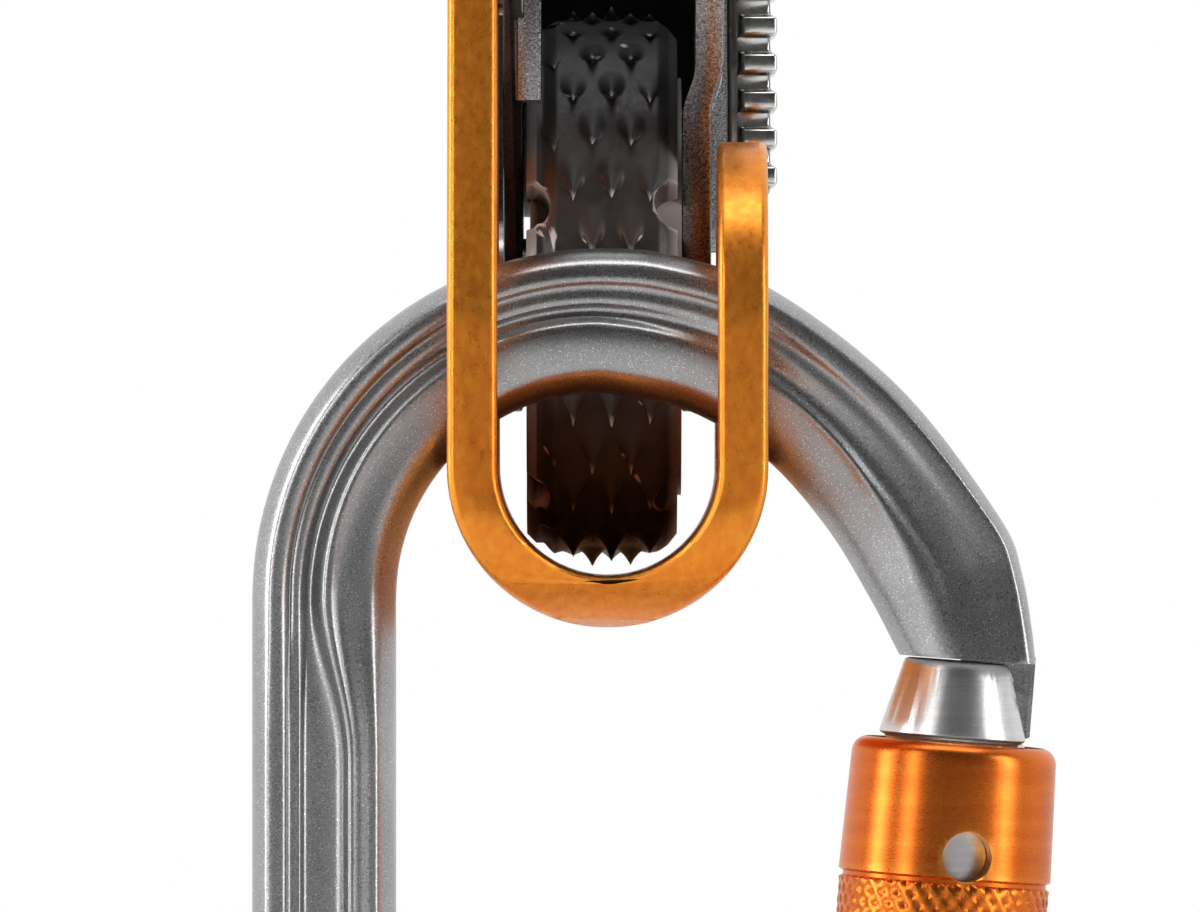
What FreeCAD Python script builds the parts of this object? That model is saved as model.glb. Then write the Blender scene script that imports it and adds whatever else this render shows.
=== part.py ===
import FreeCAD, Part
import math
import os

# Belay device: a toothed-wheel rope grab, its swinging jaw arm and its oval locking connector.
# Millimetres. X runs across the device, Y along the rope, Z up.
# The origin is the centre of the arm's rope bend, in the plane of the wheel's axle.

V = FreeCAD.Vector
ALONG_X = V(1, 0, 0)
ALONG_Y = V(0, 1, 0)

# Sizes that can be set by themselves
WHEEL_RADIUS = 23.0        # axle to the tallest tooth tips
WHEEL_WIDTH = 12.2
WHEEL_OFFSET = 0.44        # the wheel sits this far to the left of the bend's centre
TOOTH_HEIGHT = 2.1
TOOTH_ROWS = 30
TOOTH_COLUMNS = 6
TOOTH_COLUMN_PITCH = 1.55
TOOTH_LEAN = 5.0           # from a tooth's root to its tip, along the rim
TOOTH_ROOT = 1.25          # radius of a tooth's root
RIM_WALL = 3.4
LEFT_CHEEK = 1.5
ARM_THICKNESS = 4.0
AXLE_RADIUS = 3.0
BALL_RADIUS = 1.0
BALL_COUNT = 12
PIVOT_RADIUS = 4.0
CATCH_PIN_RADIUS = 1.6
RIB_PITCH = 3.04
RIB_COUNT = 7
RATCHET_NOTCHES = 24
BAR_HEIGHT = 11.5          # connector bar, in the plane of the loop
BAR_DEPTH = 11.0           # connector bar, along the rope
BAR_RISE = 0.35            # middle of the bar above the middle of the arm's eyes
BOW_RADIUS = 27.9          # outside of the connector's bow
CONNECTOR_LENGTH = 110.0
GATE_RADIUS = 5.6
GATE_LEAN = 4.5            # degrees between the gate and the spine
SLEEVE_RADIUS = 8.5
SLEEVE_TRAVEL = 5.0

# Clearances
JAW_GAP = 0.5              # tooth tips to the rope bend with no rope in
SIDE_GAP = 0.36            # faces of moving bodies that pass side by side
RUN = 0.05                 # radial gap of a pin that turns
SEAT = 0.02                # gap of pieces fixed together
FREE = 0.6                 # gap around a piece that swings clear

# Across the device
WHEEL_LEFT = -WHEEL_OFFSET - WHEEL_WIDTH / 2
WHEEL_RIGHT = -WHEEL_OFFSET + WHEEL_WIDTH / 2
CHEEK_L_IN = WHEEL_LEFT - SIDE_GAP
CHEEK_L_OUT = CHEEK_L_IN - LEFT_CHEEK
BEND_RADIUS = -CHEEK_L_OUT + SIDE_GAP
BEND_OUTSIDE = BEND_RADIUS + ARM_THICKNESS
CHEEK_R_IN = WHEEL_RIGHT + SIDE_GAP
CHEEK_R_OUT = BEND_RADIUS - SIDE_GAP
JOGGLE = 1.0               # the right cheek steps outward above the wheel's axle
CATCH_X = CHEEK_R_OUT + JOGGLE + SIDE_GAP
CATCH_OUT = CATCH_X + 4.0
WEB_X = WHEEL_LEFT + 1.7
WEB_END = WEB_X + 1.6

# Along the rope and upward
AXLE_Z = WHEEL_RADIUS - BEND_RADIUS + JAW_GAP
EYE_Y = -(WHEEL_RADIUS + 2.5 + BAR_DEPTH / 2)
EYE_Z = AXLE_Z - 3.3
EYE_HOLE = BAR_HEIGHT + 0.4
EYE_BOSS = EYE_HOLE + 2.7
PIVOT_Y = EYE_Y + 7.0
PIVOT_Z = AXLE_Z + WHEEL_RADIUS + 14.3
PIVOT_BOSS = PIVOT_RADIUS + 5.0
REAR_Y = WHEEL_RADIUS + 6.0
TOP_Y = REAR_Y - 9.0
RIM_RADIUS = WHEEL_RADIUS - TOOTH_HEIGHT
RIM_INSIDE = RIM_RADIUS - RIM_WALL
RING_OUTSIDE = RIM_INSIDE - 0.5
RING_INSIDE = RING_OUTSIDE - 2.5
HUB_RADIUS = AXLE_RADIUS + 2 * BALL_RADIUS + 2.8
WEIGHT_PIVOT = RING_INSIDE - 4.1
WEIGHT_SWING = 7.5         # degrees outward
CATCH_Y = 4.0
CATCH_Z = PIVOT_Z - 2.0
GRIP_BOTTOM = EYE_Z + 9.2
GRIP_FRONT = -11.0

# The connector's loop
BOW_X = -0.5
BOW_Z = EYE_Z + BAR_RISE + BAR_HEIGHT / 2 - BOW_RADIUS
BOW_INSIDE = BOW_RADIUS - BAR_HEIGHT
FOOT_Z = BOW_Z + 2 * BOW_RADIUS - CONNECTOR_LENGTH
HINGE = V(BOW_X + BOW_RADIUS - 2.95, EYE_Y, FOOT_Z)
LEAN = math.radians(GATE_LEAN)
GATE_TOP = (BOW_Z - 5.1 - HINGE.z) / math.cos(LEAN)
NOSE_HEIGHT = 6.2
SLEEVE_TOP = GATE_TOP - NOSE_HEIGHT - 0.3
SLEEVE_BOTTOM = 8.6
COLLAR_WALL = 0.8
COLLAR_BOTTOM = SLEEVE_BOTTOM + 8.0
COLLAR_TOP = SLEEVE_TOP - 2.15
BORE_TOP = 0.63 * GATE_TOP       # blind end of the gate's bore
HEEL_DROP = GATE_RADIUS + 0.8    # from the hinge down to the foot's end face


def keep(shape, name):
    shape.exportStep("parts/" + name + ".step")


def across(y, z, radius, x0, x1):
    return Part.makeCylinder(radius, x1 - x0, V(x0, y, z), ALONG_X)


def tube(y, z, inside, outside, x0, x1):
    return across(y, z, outside, x0, x1).cut(across(y, z, inside, x0 - 1, x1 + 1))


def block(x0, x1, y0, y1, z0, z1):
    return Part.makeBox(x1 - x0, y1 - y0, z1 - z0, V(x0, y0, z0))


def rounded_plate(circles, x0, x1):
    """The convex plate that a belt around the circles (y, z, radius) encloses."""
    edges = []
    normals = []
    for n, (y, z, r) in enumerate(circles):
        y2, z2, r2 = circles[(n + 1) % len(circles)]
        span = math.hypot(y2 - y, z2 - z)
        dy, dz = (y2 - y) / span, (z2 - z) / span
        side = (r - r2) / span
        flat = math.sqrt(1 - side * side)
        normals.append((flat * dz + side * dy, -flat * dy + side * dz))
    for n, (y, z, r) in enumerate(circles):
        y2, z2, r2 = circles[(n + 1) % len(circles)]
        ny, nz = normals[n]
        my, mz = normals[n - 1]
        first = math.atan2(mz, my)
        half = (math.atan2(nz, ny) - first) % (2 * math.pi) / 2
        start = V(x0, y + r * my, z + r * mz)
        middle = V(x0, y + r * math.cos(first + half), z + r * math.sin(first + half))
        end = V(x0, y + r * ny, z + r * nz)
        edges.append(Part.Arc(start, middle, end).toShape())
        edges.append(Part.makeLine(end, V(x0, y2 + r2 * ny, z2 + r2 * nz)))
    return Part.Face(Part.Wire(edges)).extrude(V(x1 - x0, 0, 0))


def coil(radius, wire, turns, x0, y, z):
    """A close-wound torsion spring on a pin that runs across the device."""
    pitch = 2 * wire + 0.15
    path = Part.Wire(Part.makeHelix(pitch, pitch * turns, radius).Edges)
    ring = Part.Wire(Part.makeCircle(wire, V(radius, 0, 0), V(0, 1, 0)))
    spring = path.makePipeShell([ring], True, True)
    spring.rotate(V(0, 0, 0), ALONG_Y, 90)
    spring.translate(V(x0 + wire, y, z))
    return spring


def curve(points, start, end):
    line = Part.BSplineCurve()
    line.interpolate(Points=points, InitialTangent=start, FinalTangent=end)
    return line.toShape()


def gate_point(x, up):
    """A point beside and along the gate's centre line, from its hinge."""
    return HINGE + V(math.cos(LEAN), 0, -math.sin(LEAN)) * x + V(math.sin(LEAN), 0, math.cos(LEAN)) * up


def gate_frame(shape):
    """Stand a piece that was made upright at the origin on the gate's hinge."""
    shape.rotate(V(0, 0, 0), ALONG_Y, GATE_LEAN)
    shape.translate(HINGE)
    return shape


# ---- frame ----

def cheek_outline(x0, x1):
    corners = [
        (0, AXLE_Z, AXLE_RADIUS + 7.2),
        (REAR_Y, AXLE_Z + 9.5, 4.0),
        (TOP_Y, PIVOT_Z, 8.0),
        (PIVOT_Y, PIVOT_Z, PIVOT_BOSS),
    ]
    return rounded_plate(corners, x0, x1)


def frame_bores(x0, x1):
    bores = [
        across(PIVOT_Y, PIVOT_Z, PIVOT_RADIUS + SEAT, x0, x1),
        across(0, AXLE_Z, AXLE_RADIUS + SEAT, x0, x1),
        across(CATCH_Y, CATCH_Z, CATCH_PIN_RADIUS + SEAT, x0, x1),
    ]
    for y, z in screw_places():
        bores.append(across(y, z, 1.5 + SEAT, x0, x1))
    return bores


def screw_places():
    return [(TOP_Y, PIVOT_Z), (TOP_Y - 14.0, PIVOT_Z + 3.0), (REAR_Y, AXLE_Z + 9.5)]


def left_cheek():
    plate = cheek_outline(CHEEK_L_OUT, CHEEK_L_IN)
    front = PIVOT_Y - 1.0
    low = AXLE_Z + 14.7
    rear = -math.sqrt((WHEEL_RADIUS + FREE) ** 2 - 14.7 ** 2)
    finger = block(CHEEK_L_IN - 0.5, CHEEK_L_IN + 1.6, front, rear, low, PIVOT_Z - 7.0)
    pad = rounded_plate([(14.0, AXLE_Z + 6.5, 3.5), (24.0, AXLE_Z + 20.0, 4.0),
                         (16.0, AXLE_Z + 22.0, 4.0)], CHEEK_L_OUT - 1.4, CHEEK_L_OUT + 0.5)
    return plate.fuse([finger, pad]).cut(frame_bores(-15, 15)).removeSplitter()


def stepped_sheet(left, right):
    """A slab between two faces that both step outward where the right cheek does."""
    step = AXLE_Z + 15.6
    top = PIVOT_Z + PIVOT_BOSS + 2
    low = AXLE_Z - 14.0
    inner = [V(left, -60, step - 2.2), V(left + JOGGLE, -60, step + 2.2)]
    outer = [V(right + JOGGLE, -60, step + 2.6), V(right, -60, step - 1.8)]
    inner_low = V(left, -60, low)
    inner_top = V(left + JOGGLE, -60, top)
    outer_top = V(right + JOGGLE, -60, top)
    outer_low = V(right, -60, low)
    rise = V(0, 0, 5)
    edges = [
        Part.makeLine(inner_low, inner[0]),
        curve(inner, rise, rise),
        Part.makeLine(inner[1], inner_top),
        Part.makeLine(inner_top, outer_top),
        Part.makeLine(outer_top, outer[0]),
        curve(outer, -rise, -rise),
        Part.makeLine(outer[1], outer_low),
        Part.makeLine(outer_low, inner_low),
    ]
    return Part.Face(Part.Wire(edges)).extrude(V(0, 120, 0))


def right_cheek():
    plate = stepped_sheet(CHEEK_R_IN, CHEEK_R_OUT).common(
        cheek_outline(CHEEK_R_IN - 1, CHEEK_R_OUT + 3))
    sink = Part.makeCone(AXLE_RADIUS, AXLE_RADIUS + 1.4, 1.4, V(CHEEK_R_OUT - 1.4, 0, AXLE_Z),
                         ALONG_X)
    bolts = [across(y, z, 0.9 + SEAT, 0, 15) for y, z in ring_bolt_places()]
    pad = rounded_plate([(24.5, AXLE_Z + 5.2, 2.2), (24.5, AXLE_Z + 23.5, 2.2)],
                        CHEEK_R_OUT - 0.5, CHEEK_R_OUT + 2.4)
    return plate.fuse(pad).cut([sink] + bolts + frame_bores(-15, 15)).removeSplitter()


def back_bridge():
    top = rounded_plate([(TOP_Y, PIVOT_Z, 7.0), (TOP_Y - 14.0, PIVOT_Z + 1.5, 5.5)],
                        CHEEK_L_IN + SEAT, CHEEK_R_OUT)
    rear = rounded_plate([(REAR_Y, AXLE_Z + 9.5, 3.5), (TOP_Y, PIVOT_Z, 6.5)],
                         CHEEK_L_IN + SEAT, CHEEK_R_OUT)
    beyond = stepped_sheet(CHEEK_R_IN - SEAT, CHEEK_R_OUT + 6.0)
    return top.fuse(rear).cut([beyond] + frame_bores(-15, 15)).removeSplitter()


def frame_screws():
    screws = []
    for y, z in screw_places():
        x0 = CHEEK_L_OUT
        shank = across(y, z, 1.5, x0 - 0.2, CHEEK_R_OUT + 0.2)
        head = across(y, z, 2.9, x0 - 2.0, x0 - SEAT)
        socket = across(y, z, 1.2, x0 - 3.0, x0 - 0.9)
        screws.append(shank.fuse(head).cut(socket))
    return Part.makeCompound(screws)


def pivot_pin():
    shank = across(PIVOT_Y, PIVOT_Z, PIVOT_RADIUS, -BEND_OUTSIDE - 4.0, CHEEK_R_OUT + JOGGLE)
    cap = across(PIVOT_Y, PIVOT_Z, PIVOT_BOSS, -BEND_OUTSIDE - 4.0, -BEND_OUTSIDE - 2.8)
    thread = across(PIVOT_Y, PIVOT_Z, 2.0 + SEAT, 0, 20)
    slot = block(-BEND_OUTSIDE - 5.0, -BEND_OUTSIDE - 3.2, PIVOT_Y - 0.6, PIVOT_Y + 0.6,
                 PIVOT_Z - 4.0, PIVOT_Z + 4.0)
    return shank.fuse(cap).cut(thread).cut(slot)


def pivot_screw():
    x0 = CHEEK_R_OUT + JOGGLE + SEAT
    head = across(PIVOT_Y, PIVOT_Z, 5.6, x0, x0 + 1.6)
    shank = across(PIVOT_Y, PIVOT_Z, 2.0, x0 - 7.0, x0 + 0.5)
    hexagon = Part.makeCylinder(1.5, 3, V(x0 + 0.5, PIVOT_Y, PIVOT_Z), ALONG_X)
    return head.fuse(shank).cut(hexagon)


def arm_spring():
    return coil(PIVOT_RADIUS + 1.3, 0.35, 2, -BEND_OUTSIDE - 2.75, PIVOT_Y, PIVOT_Z)


def stop_pin():
    """The post behind the arm's neck that stops the arm when it has closed."""
    below = 14.0
    slope = (EYE_Y + EYE_BOSS - PIVOT_Y - PIVOT_BOSS) / (PIVOT_Z - EYE_Z)
    edge = PIVOT_Y + PIVOT_BOSS + below * slope
    post = across(edge + 1.5 + SIDE_GAP, PIVOT_Z - below, 1.5, -BEND_OUTSIDE + 0.8,
                  CHEEK_L_OUT - SEAT)
    return post


def wheel_axle():
    shank = across(0, AXLE_Z, AXLE_RADIUS, CHEEK_L_OUT - 0.5, CHEEK_R_OUT - 1.5)
    head = across(0, AXLE_Z, 5.4, CHEEK_L_OUT - 2.2, CHEEK_L_OUT - SEAT)
    thread = across(0, AXLE_Z, 1.5 + SEAT, CHEEK_R_OUT - 8, 20)
    slot = block(CHEEK_L_OUT - 3, CHEEK_L_OUT - 1.3, -0.6, 0.6, AXLE_Z - 3.5, AXLE_Z + 3.5)
    return shank.fuse(head).cut(thread).cut(slot)


def axle_screw():
    head = Part.makeCone(AXLE_RADIUS - 0.1, AXLE_RADIUS + 1.2, 1.3,
                         V(CHEEK_R_OUT - 1.36, 0, AXLE_Z), ALONG_X)
    shank = across(0, AXLE_Z, 1.5, CHEEK_R_OUT - 7.5, CHEEK_R_OUT - 1.2)
    socket = across(0, AXLE_Z, 1.1, CHEEK_R_OUT - 1.0, 20)
    return head.fuse(shank).cut(socket)


def axle_spacers():
    left = tube(0, AXLE_Z, AXLE_RADIUS + SEAT, AXLE_RADIUS + 0.9, CHEEK_L_IN + SEAT, -2.6)
    right = tube(0, AXLE_Z, AXLE_RADIUS + SEAT, AXLE_RADIUS + 0.9, 2.6, CHEEK_R_IN - SEAT)
    return Part.makeCompound([left, right])


def catch_pin():
    shank = across(CATCH_Y, CATCH_Z, CATCH_PIN_RADIUS, CHEEK_L_OUT - 0.1, CATCH_OUT + 0.5)
    head = across(CATCH_Y, CATCH_Z, 3.0, CATCH_OUT + SIDE_GAP, CATCH_OUT + 1.3)
    return shank.fuse(head)


def ring_bolt_places():
    """The two small bolts that hold the ratchet ring to the right cheek."""
    middle = (RING_INSIDE + RING_OUTSIDE) / 2
    places = []
    for angle in (25, 150):
        turn = math.radians(angle)
        places.append((middle * math.cos(turn), AXLE_Z + middle * math.sin(turn)))
    return places


def ratchet_ring():
    ring = tube(0, AXLE_Z, RING_INSIDE, RING_OUTSIDE, WEB_END + FREE, CHEEK_R_IN - SEAT)
    phase = weight_tip_angle()
    depth = RING_INSIDE - 0.3
    notches = []
    for n in range(RATCHET_NOTCHES):
        turn = phase + 2 * math.pi * n / RATCHET_NOTCHES
        y = depth * math.cos(turn)
        z = AXLE_Z + depth * math.sin(turn)
        notches.append(across(y, z, 1.8, -20, WEB_END + 4.8))
    screw = [across(y, z, 0.9 + SEAT, CHEEK_R_IN - 3.0, 15) for y, z in ring_bolt_places()]
    return ring.cut(notches + screw)


def ring_bolts():
    bolts = [across(y, z, 0.9, CHEEK_R_IN - 2.8, CHEEK_R_OUT) for y, z in ring_bolt_places()]
    return Part.makeCompound(bolts)


def bearing_inner_race():
    race = tube(0, AXLE_Z, AXLE_RADIUS + SEAT, AXLE_RADIUS + 1.1, -2.58, 2.58)
    groove = Part.makeTorus(AXLE_RADIUS + 0.9 + BALL_RADIUS, BALL_RADIUS + RUN,
                            V(0, 0, AXLE_Z), ALONG_X)
    return race.cut(groove)


# ---- wheel ----

def bearing_outer_race():
    outside = AXLE_RADIUS + 2 * BALL_RADIUS + 1.7
    race = tube(0, AXLE_Z, outside - 1.1, outside, -2.5, 2.5)
    groove = Part.makeTorus(AXLE_RADIUS + 0.9 + BALL_RADIUS, BALL_RADIUS + SEAT,
                            V(0, 0, AXLE_Z), ALONG_X)
    return race.cut(groove)


def bearing_balls():
    balls = []
    middle = AXLE_RADIUS + 0.9 + BALL_RADIUS
    for n in range(BALL_COUNT):
        turn = 2 * math.pi * n / BALL_COUNT
        place = V(0, middle * math.cos(turn), AXLE_Z + middle * math.sin(turn))
        balls.append(Part.makeSphere(BALL_RADIUS, place))
    return Part.makeCompound(balls)


def turned(profile):
    """Turn an (x, radius) outline around the wheel's axle."""
    points = [V(x, 0, AXLE_Z + r) for x, r in profile]
    face = Part.Face(Part.makePolygon(points + points[:1]))
    return face.revolve(V(0, 0, AXLE_Z), ALONG_X, 360)


def tip_radius(x):
    """How far a tooth in column x reaches, to stay JAW_GAP off the bend."""
    return AXLE_Z + math.sqrt((BEND_RADIUS - JAW_GAP) ** 2 - x * x)


def tooth(angle, x):
    out = V(0, math.cos(angle), math.sin(angle))
    lean = V(0, -math.sin(angle), math.cos(angle))
    axle = V(x, 0, AXLE_Z)
    side = TOOTH_LEAN / 2
    root = axle + out * (RIM_RADIUS - TOOTH_ROOT - 0.2) - lean * side
    tip = axle + out * math.sqrt(tip_radius(x) ** 2 - side * side) + lean * side
    height = (tip - root).Length
    return Part.makeCone(TOOTH_ROOT, 0.14, height - 0.05, root, tip - root)


def toothed_rim():
    shoulder = AXLE_Z + math.sqrt((BEND_RADIUS - JAW_GAP) ** 2 - WHEEL_LEFT ** 2) - 0.3
    chamfer = RIM_RADIUS - shoulder
    rim = turned([(WHEEL_LEFT, RIM_INSIDE), (WHEEL_LEFT, shoulder),
                  (WHEEL_LEFT + chamfer, RIM_RADIUS), (WHEEL_RIGHT - chamfer, RIM_RADIUS),
                  (WHEEL_RIGHT, shoulder), (WHEEL_RIGHT, RIM_INSIDE)])
    flange = tube(0, AXLE_Z, RIM_INSIDE - 3.4, RIM_INSIDE + 0.5, WHEEL_LEFT + 0.3, WEB_X - SEAT)
    teeth = []
    for row in range(TOOTH_ROWS):
        turn = 2 * math.pi * row / TOOTH_ROWS
        for column in range(row % 2, TOOTH_COLUMNS, 2):
            x = -WHEEL_OFFSET + (column - (TOOTH_COLUMNS - 1) / 2) * TOOTH_COLUMN_PITCH
            teeth.append(tooth(turn, x))
    notches = []
    for n in range(5):
        turn = 2 * math.pi * (n + 0.25) / 5
        y = RIM_RADIUS * math.cos(turn)
        z = AXLE_Z + RIM_RADIUS * math.sin(turn)
        notches.append(across(y, z, 1.9, WHEEL_LEFT - 1, WHEEL_LEFT + 1.3))
        notches.append(across(y, z, 1.9, WHEEL_RIGHT - 1.3, WHEEL_RIGHT + 1))
    holes = [across(y, z, 0.9 + SEAT, -20, 0) for y, z in rivet_places()]
    return rim.fuse(flange).cut(notches + holes).fuse(teeth)


def rivet_places():
    places = []
    for n in range(5):
        turn = 2 * math.pi * (n + 0.25) / 5
        y = (RIM_INSIDE - 1.8) * math.cos(turn)
        places.append((y, AXLE_Z + (RIM_INSIDE - 1.8) * math.sin(turn)))
    return places


def hub_rivets():
    rivets = []
    for y, z in rivet_places():
        shank = across(y, z, 0.9, WHEEL_LEFT + 0.3, WEB_END)
        head = across(y, z, 1.4, WEB_END + SEAT, WEB_END + 0.3)
        rivets.append(shank.fuse(head.fuse(across(y, z, 0.9, WEB_END - 0.2, WEB_END + 0.1))))
    return Part.makeCompound(rivets)


def wheel_hub():
    web = across(0, AXLE_Z, RIM_INSIDE - 0.2, WEB_X, WEB_END)
    boss = across(0, AXLE_Z, HUB_RADIUS, WEB_X, 3.4)
    race = AXLE_RADIUS + 2 * BALL_RADIUS + 1.7
    seat = across(0, AXLE_Z, race + SEAT, -2.52, 10)
    bore = across(0, AXLE_Z, AXLE_RADIUS + 1.4, -20, 10)
    cuts = [seat, bore]
    for y, z in rivet_places():
        cuts.append(across(y, z, 0.9 + SEAT, -20, 10))
    for y, z in weight_pivots():
        cuts.append(across(y, z, 1.1 + SEAT, -20, 10))
    return web.fuse(boss).cut(cuts)


def weight_pivots():
    return [(WEIGHT_PIVOT, AXLE_Z), (-WEIGHT_PIVOT, AXLE_Z)]


def weight_tip():
    """Place of the flyweight's nose, from the axle, before it swings out."""
    reach = RING_INSIDE - 1.9
    turn = math.radians(85)
    return (reach * math.cos(turn), reach * math.sin(turn))


def weight_tip_angle():
    """Direction of the nose after it has swung fully out."""
    y, z = weight_tip()
    swing = math.radians(WEIGHT_SWING)
    arm = y - WEIGHT_PIVOT
    out_y = WEIGHT_PIVOT + arm * math.cos(swing) + z * math.sin(swing)
    out_z = -arm * math.sin(swing) + z * math.cos(swing)
    return math.atan2(out_z, out_y)


def flyweight():
    x0 = WEB_END + FREE
    x1 = x0 + 3.2
    y, z = weight_tip()
    waist = (RING_INSIDE - 3.3) * math.cos(math.radians(45))
    heel = rounded_plate([(WEIGHT_PIVOT, AXLE_Z, 2.2), (waist, AXLE_Z + waist, 1.9)], x0, x1)
    nose = rounded_plate([(waist, AXLE_Z + waist, 1.8), (y, AXLE_Z + z, 1.15)], x0, x1)
    pin = across(WEIGHT_PIVOT, AXLE_Z, 1.1 + RUN, -20, 20)
    return heel.fuse(nose).cut(pin).removeSplitter()


def flyweight_b():
    weight = flyweight()
    weight.rotate(V(0, 0, AXLE_Z), ALONG_X, 180)
    return weight


def flyweight_pins():
    pins = []
    for y, z in weight_pivots():
        shank = across(y, z, 1.1, WEB_X, WEB_END + FREE + 3.7)
        head = across(y, z, 1.7, WEB_END + FREE + 3.2 + SIDE_GAP, WEB_END + FREE + 4.1)
        pins.append(shank.fuse(head))
    return Part.makeCompound(pins)


# ---- jaw arm ----

def jaw_outline(x0, x1):
    toe = (EYE_Y - 4.0, 10.0 - BEND_OUTSIDE, 10.0)
    heel = (-1.8, 8.8 - BEND_OUTSIDE, 8.8)
    return rounded_plate([toe, heel, (EYE_Y, EYE_Z, EYE_BOSS)], x0, x1)


def arm_plate():
    rear = 10.0
    front = EYE_Y - EYE_BOSS - 5.0
    bend = Part.makeCylinder(BEND_OUTSIDE, rear - front, V(0, front, 0), ALONG_Y)
    bend = bend.cut(Part.makeCylinder(BEND_RADIUS, rear - front, V(0, front, 0), ALONG_Y))
    bend = bend.cut(block(-20, 20, front, rear, 0, 40))
    left = block(-BEND_OUTSIDE, -BEND_RADIUS, front, rear, 0, PIVOT_Z + PIVOT_BOSS)
    right = block(BEND_RADIUS, BEND_OUTSIDE, front, rear, 0, EYE_Z + EYE_BOSS)
    sheet = bend.fuse([left, right])
    eye = (EYE_Y, EYE_Z, EYE_BOSS)
    neck = rounded_plate([eye, (PIVOT_Y, PIVOT_Z, PIVOT_BOSS)], -20, 0)
    outline = neck.fuse(jaw_outline(-20, 20))
    arm = sheet.common(outline).removeSplitter()
    eye_hole = across(EYE_Y, EYE_Z, EYE_HOLE, -20, 20)
    bush_hole = across(PIVOT_Y, PIVOT_Z, PIVOT_RADIUS + 1.2 + SEAT, -20, 0)
    window = rounded_plate([(PIVOT_Y - 0.7, PIVOT_Z - 19.0, 3.5),
                            (PIVOT_Y - 2.0, PIVOT_Z - 13.5, 3.0)], -20, 0)
    return arm.cut([eye_hole, bush_hole, window])


def arm_bush():
    return tube(PIVOT_Y, PIVOT_Z, PIVOT_RADIUS + RUN, PIVOT_RADIUS + 1.2,
                -BEND_OUTSIDE, -BEND_RADIUS)


# ---- mouth catch ----

def catch_lever():
    top = GRIP_BOTTOM + RIB_PITCH * RIB_COUNT - 0.5
    grip = block(CATCH_X, CATCH_OUT - 0.55, GRIP_FRONT, 7.0, GRIP_BOTTOM, top)
    ribs = []
    for n in range(RIB_COUNT):
        z0 = GRIP_BOTTOM + 2.2 + n * RIB_PITCH
        if z0 + 1.55 < top:
            ribs.append(block(CATCH_X + 1.05, CATCH_OUT, GRIP_FRONT - 1.0, 7.0, z0, z0 + 1.55))
    neck = rounded_plate([(0.0, top - 3.0, 4.5), (CATCH_Y, CATCH_Z, 4.2)],
                         CATCH_X, CATCH_OUT - 1.0)
    corner = Part.Face(Part.makePolygon([
        V(CATCH_OUT - 1.4, -20, GRIP_BOTTOM - 0.1), V(CATCH_OUT + 1, -20, GRIP_BOTTOM - 0.1),
        V(CATCH_OUT + 1, -20, GRIP_BOTTOM + 2.2), V(CATCH_OUT - 0.4, -20, GRIP_BOTTOM + 2.2),
        V(CATCH_OUT - 1.4, -20, GRIP_BOTTOM - 0.1)])).extrude(V(0, 40, 0))
    pin = across(CATCH_Y, CATCH_Z, CATCH_PIN_RADIUS + RUN, 0, 20)
    well = across(CATCH_Y, CATCH_Z, 3.4, CATCH_OUT - 2.0, 20)
    return grip.fuse(ribs + [neck]).cut([corner, pin, well]).removeSplitter()


def catch_spring():
    return coil(CATCH_PIN_RADIUS + 0.9, 0.3, 2, CATCH_OUT - 1.95, CATCH_Y, CATCH_Z)


# ---- connector ----

def arc_off_level(low, end):
    """The round arc that leaves the low point level and rises to the end point."""
    across_x = end.x - low.x
    rise = end.z - low.z
    radius = (across_x ** 2 + rise ** 2) / (2 * rise)
    half = math.atan2(across_x, radius - rise) / 2
    middle = low + V(radius * math.sin(half), 0, radius * (1 - math.cos(half)))
    return Part.Arc(low, middle, end).toShape()


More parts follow.
